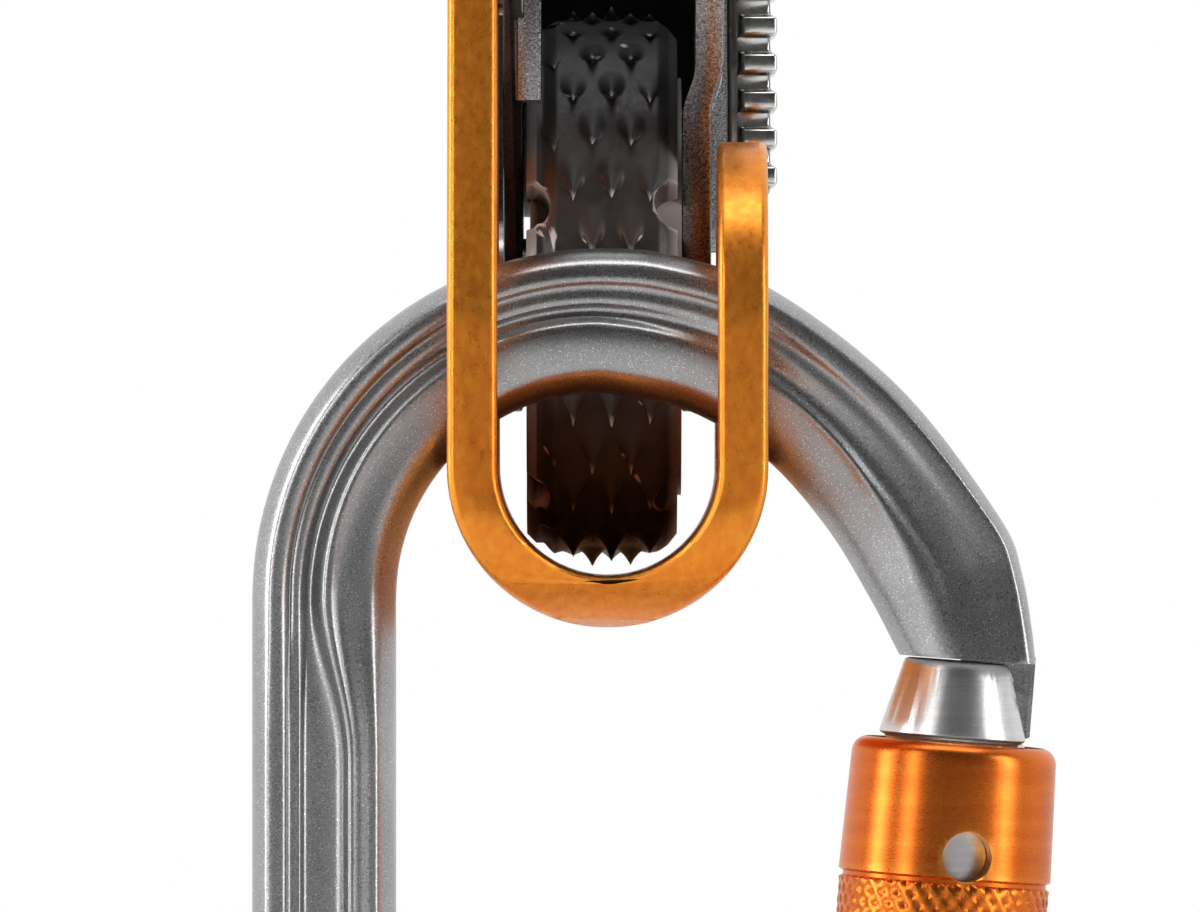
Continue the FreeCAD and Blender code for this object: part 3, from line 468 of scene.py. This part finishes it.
SHOULDER_STATIONS = 46
TURN_STATIONS = 26
SPINE_STATIONS = 40
FOOT_STATIONS = 22
HEEL_STATIONS = 16
THUMB_AT = 0.16        # share of the shoulder's length where the thumb's section is whole
SHOULDER_AT = 0.42
RIDGES_SHIFTED = 4.2   # the ridges move over in the first part of the spine: 1 / this
HEEL_SHARE = 0.55      # how far the section has turned plain at the foot's low point


def connector_stations():
    """Outer point, inner point and section all the way round, from the nose to the heel."""
    nose_out = beside_gate(5.9, GATE_TOP / MM + 0.2)
    nose_in = beside_gate(-5.0, GATE_TOP / MM + 0.12)
    outer = smooth_path([nose_out, from_bow(34.4, -2.5), from_bow(33.6, 2.0),
                         from_bow(31.9, 6.3), from_bow(23.9, 16.7), from_bow(13.5, 24.7),
                         from_bow(5.0, 27.5), from_bow(0, 27.9)],
                        SHOULDER_STATIONS)
    inner = smooth_path([nose_in, from_bow(21.5, -0.1), from_bow(18.0, 5.6),
                         from_bow(13.1, 11.1), from_bow(7.0, 14.9), from_bow(0, 16.4)],
                        SHOULDER_STATIONS)
    stations = []
    for n, (o, i) in enumerate(zip(outer, inner)):
        share = n / (SHOULDER_STATIONS - 1)
        if share < THUMB_AT:
            section = blended(NOSE_END, THUMB, share / THUMB_AT)
        elif share < SHOULDER_AT:
            section = blended(THUMB, SHOULDER, (share - THUMB_AT) / (SHOULDER_AT - THUMB_AT))
        else:
            section = blended(SHOULDER, CREST, (share - SHOULDER_AT) / (1 - SHOULDER_AT))
        stations.append((o, i, section))
    turn = zip(arc_points(BOW, BOW_RADIUS, 90, 180, TURN_STATIONS),
               arc_points(BOW, BOW_INSIDE, 90, 180, TURN_STATIONS))
    for n, (o, i) in enumerate(list(turn)[1:]):
        stations.append((o, i, blended(CREST, SIDE_BOW, (n + 1) / (TURN_STATIONS - 1))))
    for n in range(1, SPINE_STATIONS + 1):
        share = (n / SPINE_STATIONS) ** 1.4
        blend = min(1.0, share * RIDGES_SHIFTED)
        blend = blend * blend * (3 - 2 * blend)
        drop = Vector((0, 0, (FOOT.z - BOW.z) * share))
        o = BOW + Vector((-BOW_RADIUS, 0, 0)) + drop
        i = BOW + Vector((-BOW_INSIDE, 0, 0)) + drop
        stations.append((o, i, blended(SIDE_BOW, SPINE, blend)))
    heel_out = beside_gate(5.6, -6.4)
    heel_in = beside_gate(-5.6, -6.4)
    low = zip(arc_points(FOOT, BOW_RADIUS, 180, 270, FOOT_STATIONS),
              arc_points(FOOT, BOW_INSIDE, 180, 270, FOOT_STATIONS))
    for n, (o, i) in enumerate(list(low)[1:]):
        share = HEEL_SHARE * (n + 1) / (FOOT_STATIONS - 1)
        stations.append((o, i, blended(SPINE, HEEL_END, share)))
    outer = level_arc(from_foot(0, -27.9), heel_out, HEEL_STATIONS)
    inner = level_arc(from_foot(0, -16.4), heel_in, HEEL_STATIONS)
    for n, (o, i) in enumerate(zip(outer[1:], inner[1:])):
        share = HEEL_SHARE + (1 - HEEL_SHARE) * (n + 1) / (HEEL_STATIONS - 1)
        stations.append((o, i, blended(SPINE, HEEL_END, share)))
    return stations


def level_arc(low, end, count):
    """The round arc that leaves the low point level and rises to the end point."""
    side = end.x - low.x
    rise = end.z - low.z
    radius = (side ** 2 + rise ** 2) / (2 * rise)
    whole = math.atan2(side, radius - rise)
    points = []
    for n in range(count):
        turn = whole * n / (count - 1)
        points.append(low + Vector((radius * math.sin(turn), 0, radius * (1 - math.cos(turn)))))
    return points


RIDGE_CREASE = 0.35
CAP_CREASE = 0.8
TONGUE_CREASE = 0.92


def ring_edges(ring):
    """The edges that join neighbours round a closed ring."""
    return [next(edge for edge in a.link_edges if edge.other_vert(a) is b)
            for a, b in zip(ring, ring[1:] + ring[:1])]


def connector():
    """The forged bar, swept through its sections, with its tongue, lip and hinge eye."""
    build = bmesh.new()
    rings = []
    for outer, inner, section in connector_stations():
        around = section + [(share, -depth) for share, depth in reversed(section[1:-1])]
        ring = bmesh.ops.create_circle(build, segments=len(around), radius=MM)["verts"]
        for corner, (share, depth) in zip(ring, around):
            corner.co = outer.lerp(inner, share) + Vector((0, -depth * MM, 0))
        rings.append(ring)
    crease = build.edges.layers.float.new("crease_edge")
    for first, second in zip(rings, rings[1:]):
        bmesh.ops.bridge_loops(build, edges=ring_edges(first) + ring_edges(second))
        for n in CRISP_CORNERS:
            for corner in (n, len(first) - n):
                build.edges.get((first[corner], second[corner]))[crease] = RIDGE_CREASE
    for ring in (rings[0], rings[-1]):
        cap = build.faces.new(ring)
        for edge in cap.edges:
            edge[crease] = CAP_CREASE
        bmesh.ops.inset_individual(build, faces=[cap], thickness=0.9 * MM)
    bmesh.ops.recalc_face_normals(build, faces=build.faces)
    for face in build.faces:
        face.smooth = True
    top = GATE_TOP / MM
    add_block(build, (-0.2, 5.4), 1.9, (top - 5.3, top + 0.9))
    add_block(build, (5.2, 5.9), 1.9, (top - 5.85, top + 0.9))
    eye = bmesh.ops.create_cone(build, cap_ends=True, segments=48, radius1=5 * MM,
                                radius2=5 * MM, depth=4.8 * MM)["verts"]
    bmesh.ops.transform(build, verts=eye,
                        matrix=GATE_PLACE @ Matrix.Rotation(math.radians(90), 4, "X"))
    for corner in eye:
        for edge in corner.link_edges:
            if len(edge.link_faces) == 2 and edge.calc_face_angle(0.0) > 1.0:
                edge[crease] = 1.0
    add_block(build, (-4.5, 4.5), 2.4, (-9.0, 0.0))
    return build


def add_block(build, side, half_depth, up):
    """A block in the gate's frame: its x range, half its depth, and its height range."""
    corners = bmesh.ops.create_cube(build, size=1.0)["verts"]
    size = Vector((side[1] - side[0], 2 * half_depth, up[1] - up[0])) * MM
    middle = Vector(((side[0] + side[1]) / 2, 0, (up[0] + up[1]) / 2)) * MM
    bmesh.ops.scale(build, verts=corners, vec=size)
    bmesh.ops.translate(build, verts=corners, vec=middle)
    bmesh.ops.transform(build, verts=corners, matrix=GATE_PLACE)
    crease = build.edges.layers.float["crease_edge"]
    for edge in {edge for corner in corners for edge in corner.link_edges}:
        edge[crease] = TONGUE_CREASE


finished("forged_connector", connector(), ["forged_alloy"], "connector",
         "connector_body", rounds=1)


# ---- jaw arm ----

finished("jaw_arm", eased("arm_plate", 0.65 * MM, 3), ["orange_anodised"], "arm",
         "arm_plate")


# ---- gate and sleeve ----

finished("turned_gate", eased("gate_bar", 0.35 * MM, 3), ["turned_alloy"], "gate",
         "gate_bar")


SLEEVE_BOTTOM = 8.6
SLEEVE_TOP = GATE_TOP / MM - 6.5
SLEEVE_OUTSIDE = 8.5
SLEEVE_INSIDE = 6.56
KNURL_LOW = SLEEVE_BOTTOM + 3.0
KNURL_HIGH = SLEEVE_TOP - 11.4
KNURL_ROWS = 44
KNURL_AROUND = 40
KNURL_CLIMB = 11
KNURL_DEPTH = 0.32
NECK_TAPER = 0.3
SLEEVE_FACETS = 160


def sleeve_outline():
    """(radius, height) round the sleeve's wall: rounded rims, a groove each side of the knurl."""
    corner = 1.3
    outline = [(SLEEVE_INSIDE, SLEEVE_BOTTOM + 0.5), (SLEEVE_INSIDE + 0.5, SLEEVE_BOTTOM)]
    for n in range(7):
        turn = math.radians(-90 + 15 * n)
        outline.append((SLEEVE_OUTSIDE - corner + corner * math.cos(turn),
                        SLEEVE_BOTTOM + corner + corner * math.sin(turn)))
    outline += [(SLEEVE_OUTSIDE, KNURL_LOW - 0.7), (SLEEVE_OUTSIDE - 0.35, KNURL_LOW - 0.5),
                (SLEEVE_OUTSIDE - 0.35, KNURL_LOW - 0.2)]
    for n in range(KNURL_ROWS + 1):
        outline.append((SLEEVE_OUTSIDE - 0.05,
                        KNURL_LOW + (KNURL_HIGH - KNURL_LOW) * n / KNURL_ROWS))
    outline += [(SLEEVE_OUTSIDE - 0.35, KNURL_HIGH + 0.2),
                (SLEEVE_OUTSIDE - 0.35, KNURL_HIGH + 0.5),
                (SLEEVE_OUTSIDE, KNURL_HIGH + 0.7)]
    neck = SLEEVE_OUTSIDE - NECK_TAPER
    rise = SLEEVE_TOP - corner - KNURL_HIGH - 0.7
    for n in range(1, 16):
        outline.append((SLEEVE_OUTSIDE - NECK_TAPER * n / 16,
                        KNURL_HIGH + 0.7 + rise * n / 16))
    for n in range(7):
        turn = math.radians(15 * n)
        outline.append((neck - corner + corner * math.cos(turn),
                        SLEEVE_TOP - corner + corner * math.sin(turn)))
    outline += [(SLEEVE_INSIDE + 0.6, SLEEVE_TOP), (SLEEVE_INSIDE, SLEEVE_TOP - 0.6)]
    return [(r * MM, h * MM) for r, h in outline]


def lock_sleeve():
    """The turned sleeve, with the crossed cuts of its knurl pressed in."""
    build = spun(sleeve_outline(), SLEEVE_FACETS)
    low, high = KNURL_LOW * MM, KNURL_HIGH * MM
    for corner in build.verts:
        radius = math.hypot(corner.co.x, corner.co.y)
        if low - 1e-6 <= corner.co.z <= high + 1e-6 and radius > 8.3 * MM:
            turn = math.atan2(corner.co.y, corner.co.x) / math.tau * KNURL_AROUND
            climb = (corner.co.z - low) / (high - low) * KNURL_CLIMB
            zigzag = abs((turn + climb) % 1 - 0.5) + abs((turn - climb) % 1 - 0.5)
            cut = KNURL_DEPTH * MM * max(0.0, 1 - 1.6 * zigzag)
            corner.co.x *= (radius - cut) / radius
            corner.co.y *= (radius - cut) / radius
    for face in build.faces:
        face.smooth = True
    return build


def sight_hole(piece):
    """A countersunk hole in the sleeve's front, drilled along its own axis."""
    build = bmesh.new()
    drill = bmesh.ops.create_cone(build, cap_ends=True, segments=48, radius1=2.0 * MM,
                                  radius2=2.0 * MM, depth=4 * MM)["verts"]
    bmesh.ops.translate(build, verts=drill, vec=(0, 0, 7.4 * MM))
    sink = bmesh.ops.create_cone(build, cap_ends=True, segments=48, radius1=1.6 * MM,
                                 radius2=3.0 * MM, depth=1.4 * MM)["verts"]
    bmesh.ops.translate(build, verts=sink, vec=(0, 0, 8.55 * MM))
    aim = Vector((0.19, -1, 0)).to_track_quat("Z", "Y").to_matrix().to_4x4()
    place = Matrix.Translation((0, 0, (SLEEVE_TOP - 9.0) * MM)) @ aim
    bmesh.ops.transform(build, verts=build.verts, matrix=place)
    mesh = bpy.data.meshes.new("sight_drill")
    build.to_mesh(mesh)
    build.free()
    tool = link("sight_drill", mesh)
    cut = piece.modifiers.new("sight_hole", "BOOLEAN")
    cut.operation = "DIFFERENCE"
    cut.solver = "EXACT"
    cut.use_self = True
    cut.object = tool
    return tool


def drilled_sleeve():
    """The sleeve with its sight hole cut through, placed on the gate."""
    mesh = bpy.data.meshes.new("plain_sleeve")
    build = lock_sleeve()
    build.to_mesh(mesh)
    build.free()
    plain = link("plain_sleeve", mesh)
    tool = sight_hole(plain)
    shown = bpy.context.evaluated_depsgraph_get()
    cut_mesh = bpy.data.meshes.new_from_object(plain.evaluated_get(shown))
    done = bmesh.new()
    done.from_mesh(cut_mesh)
    bmesh.ops.transform(done, verts=done.verts, matrix=GATE_PLACE)
    for used in (plain, tool):
        bpy.data.objects.remove(used)
    bmesh.ops.remove_doubles(done, verts=done.verts, dist=4e-6)
    bmesh.ops.triangulate(done, faces=[face for face in done.faces if len(face.verts) > 4])
    smooth_by_angle(done, 32.0)
    return done


finished("anodised_sleeve", drilled_sleeve(), ["sleeve_anodised"], "sleeve", "lock_sleeve")


# ---- locking wheel ----

wheel_low, wheel_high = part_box("toothed_rim")
race_low, race_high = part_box("bearing_inner_race")
AXLE = Vector(((wheel_low.x + wheel_high.x) / 2, (race_low.y + race_high.y) / 2,
               (race_low.z + race_high.z) / 2))
WHEEL_HALF = (wheel_high.x - wheel_low.x) / 2
RIM_RADIUS = 20.9 * MM
BEND_CLEAR = 8.26 * MM     # rope bend less the gap at the tooth tips
RIM_STEPS = 720
RIM_COLUMNS = 64
TOOTH_ROWS = 30
TOOTH_COLUMNS = 6
TOOTH_PITCH = 1.55 * MM
TOOTH_ROOT = 1.2 * MM
TOOTH_LEAN = 2.9 * MM
TOOTH_LENGTHEN = 1.5       # a thorn's root is this much longer round the rim than across
ROOT_BACK = 0.4 * MM
CROWN = 21.6 * MM
RIM_SHOULDER = 0.75 * MM
RIM_INSIDE = 17.5 * MM
FLANGE_INSIDE = 14.1 * MM
FLANGE_SIDES = (0.3 * MM, 1.68 * MM)
NOTCHES = 5
NOTCH_RADIUS = 1.9 * MM


def tooth_places():
    """(place round the rim, place across the rim) of every tooth's root."""
    places = []
    for row in range(TOOTH_ROWS):
        for column in range(row % 2, TOOTH_COLUMNS, 2):
            across = (column - (TOOTH_COLUMNS - 1) / 2) * TOOTH_PITCH
            places.append((math.tau * row / TOOTH_ROWS, across))
    return places


def tip_radius(x):
    """How far out a thorn may stand at this place across the rim and still clear the bend."""
    return AXLE.z + math.sqrt(BEND_CLEAR ** 2 - min(abs(x + AXLE.x), BEND_CLEAR * 0.9) ** 2)


def crown_radius(x):
    """The rim's face between the thorns: highest in the middle, clear of the bend."""
    return max(RIM_RADIUS, min(CROWN, tip_radius(x) - 0.3 * MM))


def notched(x, turn):
    """The place across the rim once the round notches are cut into its sides."""
    part = turn / math.tau * NOTCHES - 0.25
    along = (part - round(part)) / NOTCHES * math.tau * RIM_RADIUS
    if abs(along) >= NOTCH_RADIUS:
        return x
    wall = WHEEL_HALF - math.sqrt(NOTCH_RADIUS ** 2 - along ** 2)
    return max(-wall, min(wall, x))


def rim_outline():
    """(place across, radius) round the rim's section, with its inner flange on the left."""
    edge = WHEEL_HALF
    face_width = 2 * edge - 2 * RIM_SHOULDER
    near, far = FLANGE_SIDES
    outline = [(-edge, RIM_INSIDE), (-edge, RIM_RADIUS - RIM_SHOULDER)]
    for n in range(RIM_COLUMNS + 1):
        outline.append((-edge + RIM_SHOULDER + face_width * n / RIM_COLUMNS, RIM_RADIUS))
    outline += [(edge, RIM_RADIUS - RIM_SHOULDER), (edge, RIM_INSIDE), (-edge + far, RIM_INSIDE),
                (-edge + far, FLANGE_INSIDE), (-edge + near, FLANGE_INSIDE),
                (-edge + near, RIM_INSIDE)]
    return outline


def nearest_thorn(x, turn, columns):
    """(distance from the thorn's root, its place across), or None between the thorns."""
    row = turn / math.tau * TOOTH_ROWS
    best = None
    for step in (math.floor(row), math.floor(row) + 1):
        for across in columns[step % TOOTH_ROWS]:
            along = (row - step) / TOOTH_ROWS * math.tau * RIM_RADIUS
            gap = math.hypot(x - across, (along + ROOT_BACK) / TOOTH_LENGTHEN)
            if gap < TOOTH_ROOT and (best is None or gap < best[0]):
                best = (gap, across)
    return best


def toothed_rim():
    """A turned rim whose face is drawn out into leaning thorns."""
    build = bmesh.new()
    corners = [build.verts.new((x, 0, r)) for x, r in rim_outline()]
    edges = [build.edges.new(pair) for pair in zip(corners, corners[1:] + corners[:1])]
    bmesh.ops.spin(build, geom=corners + edges, cent=(0, 0, 0), axis=(1, 0, 0), dvec=(0, 0, 0),
                   angle=math.tau, steps=RIM_STEPS, use_merge=True)
    bmesh.ops.recalc_face_normals(build, faces=build.faces)
    columns = {}
    for turn, across in tooth_places():
        columns.setdefault(round(turn / math.tau * TOOTH_ROWS), []).append(across)
    for corner in build.verts:
        x, y, z = corner.co
        radius = math.hypot(y, z)
        turn = math.atan2(z, y) % math.tau
        if abs(radius - RIM_RADIUS) > 1e-6:
            if radius > RIM_INSIDE - 1e-6 and abs(x) > WHEEL_HALF - 1e-6:
                corner.co.x = notched(x, turn)
            continue
        base = crown_radius(x)
        x = notched(x, turn)
        corner.co = (x, y * base / radius, z * base / radius)
        thorn = nearest_thorn(x, turn, columns)
        if thorn is None:
            continue
        gap, across = thorn
        share = 1 - gap / TOOTH_ROOT
        turn += TOOTH_LEAN * share ** 1.5 / RIM_RADIUS
        radius = base + (tip_radius(across) - base) * share ** 1.75
        corner.co.x = x + (across - x) * 0.35 * share ** 2
        corner.co.y = radius * math.cos(turn)
        corner.co.z = radius * math.sin(turn)
    bmesh.ops.translate(build, verts=build.verts, vec=AXLE)
    smooth_by_angle(build, 50.0)
    return build


finished("thorned_rim", toothed_rim(), ["wheel_steel"], "wheel", "toothed_rim")


# ---- catch and cheeks ----

def two_finishes(build, test):
    """The second finish goes on the faces that pass the test."""
    for face in build.faces:
        face.material_index = 1 if test(face) else 0
    return build


def bright_front(build):
    return two_finishes(build, lambda face: face.normal.y < -0.35 and abs(face.normal.x) < 0.95)


catch_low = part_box("catch_lever")[0]
left_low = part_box("left_cheek")[0]
finished("ribbed_catch",
         two_finishes(eased("catch_lever", 0.32 * MM, 3),
                      lambda face: face.calc_center_median().x > catch_low.x + 1.3 * MM),
         ["catch_polymer", "rib_metal"], "catch", "catch_lever")
finished("right_side_plate", bright_front(eased("right_cheek", 0.28 * MM, 2)),
         ["frame_plate", "granular_steel"], "frame", "right_cheek")
finished("left_side_plate",
         two_finishes(eased("left_cheek", 0.22 * MM, 2), lambda face: (
             face.calc_center_median().x > left_low.x + 3.2 * MM and face.normal.y < -0.35)),
         ["frame_plate", "granular_steel"], "frame", "left_cheek")


# ---- camera, floor and light ----

LENS = 600.0
SENSOR = 36.0
FRAME_WIDTH = 0.096
BAR_PLANE = -0.031
AIM = Vector((-0.0006, BAR_PLANE, 0.00092))
distance = FRAME_WIDTH / 2 / (SENSOR / 2 / LENS)

lens = bpy.data.cameras.new("front_camera")
lens.lens = LENS
lens.sensor_width = SENSOR
lens.clip_start = 0.05
lens.clip_end = 20.0
camera = bpy.data.objects.new("front_camera", lens)
camera.location = AIM + Vector((0, -distance, 0))
camera.rotation_euler = (math.radians(90), 0, 0)
bpy.context.scene.collection.objects.link(camera)
bpy.context.scene.camera = camera

FLOOR_HALF = 1.1
FLOOR_GAP = 0.5 * MM
floor_build = bmesh.new()
bmesh.ops.create_grid(floor_build, x_segments=8, y_segments=8, size=FLOOR_HALF)
bmesh.ops.translate(floor_build, verts=floor_build.verts, vec=(0, 0, cad_low.z - FLOOR_GAP))
floor_mesh = bpy.data.meshes.new("floor")
floor_build.to_mesh(floor_mesh)
floor_build.free()
floor = link("floor", floor_mesh)
floor_paint, paint_nodes, paint_links, paint = new_material("floor_paint")
paint.inputs["Base Color"].default_value = (0.86, 0.86, 0.86, 1)
paint.inputs["Roughness"].default_value = 0.8
floor_mesh.materials.append(floor_paint)


def softbox(name, place, width, height, power):
    """A rectangular lamp, turned to face the device."""
    light = bpy.data.lights.new(name, "AREA")
    light.shape = "RECTANGLE"
    light.size = width
    light.size_y = height
    light.energy = power
    lamp = bpy.data.objects.new(name, light)
    lamp.location = place
    aim = -Vector(place)
    lamp.rotation_euler = aim.to_track_quat("-Z", "Y").to_euler()
    bpy.context.scene.collection.objects.link(lamp)


# Name, place, width, height and power in watts. All of them face the device.
for name, place, width, height, power in (
        ("left_softbox", (-0.58, -0.60, 0.06), 0.14, 1.0, 2.4),
        ("left_strip", (-0.85, -0.12, 0.10), 0.30, 1.0, 5.5),
        ("right_softbox", (0.80, -0.42, 0.06), 0.22, 1.0, 4.2),
        ("top_softbox", (0.0, -0.22, 0.85), 0.8, 0.35, 3.0)):
    softbox(name, place, width, height, power)

# The surroundings are dark in front of the device and bright behind it,
# and the camera itself sees plain white.

world = bpy.data.worlds.new("studio")
world.use_nodes = True
bpy.context.scene.world = world
air = world.node_tree.nodes
ties = world.node_tree.links
backdrop = air["Background"]
direction = air.new("ShaderNodeTexCoord")
parts = air.new("ShaderNodeSeparateXYZ")
ties.new(direction.outputs["Generated"], parts.inputs["Vector"])
fade = air.new("ShaderNodeValToRGB")
fade.color_ramp.elements[0].position = 0.35
fade.color_ramp.elements[0].color = (0.07, 0.07, 0.07, 1)
fade.color_ramp.elements[1].position = 0.62
fade.color_ramp.elements[1].color = (0.95, 0.95, 0.95, 1)
halves = air.new("ShaderNodeMapRange")
halves.inputs["From Min"].default_value = -1.0
ties.new(parts.outputs["Y"], halves.inputs["Value"])
ties.new(halves.outputs["Result"], fade.inputs["Fac"])
ties.new(fade.outputs["Color"], backdrop.inputs["Color"])
plain = air.new("ShaderNodeBackground")
plain.inputs["Color"].default_value = (1, 1, 1, 1)
seen = air.new("ShaderNodeLightPath")
either = air.new("ShaderNodeMixShader")
ties.new(seen.outputs["Is Camera Ray"], either.inputs["Fac"])
ties.new(backdrop.outputs["Background"], either.inputs[1])
ties.new(plain.outputs["Background"], either.inputs[2])
ties.new(either.outputs["Shader"], air["World Output"].inputs["Surface"])
bpy.context.scene.view_settings.view_transform = "Standard"
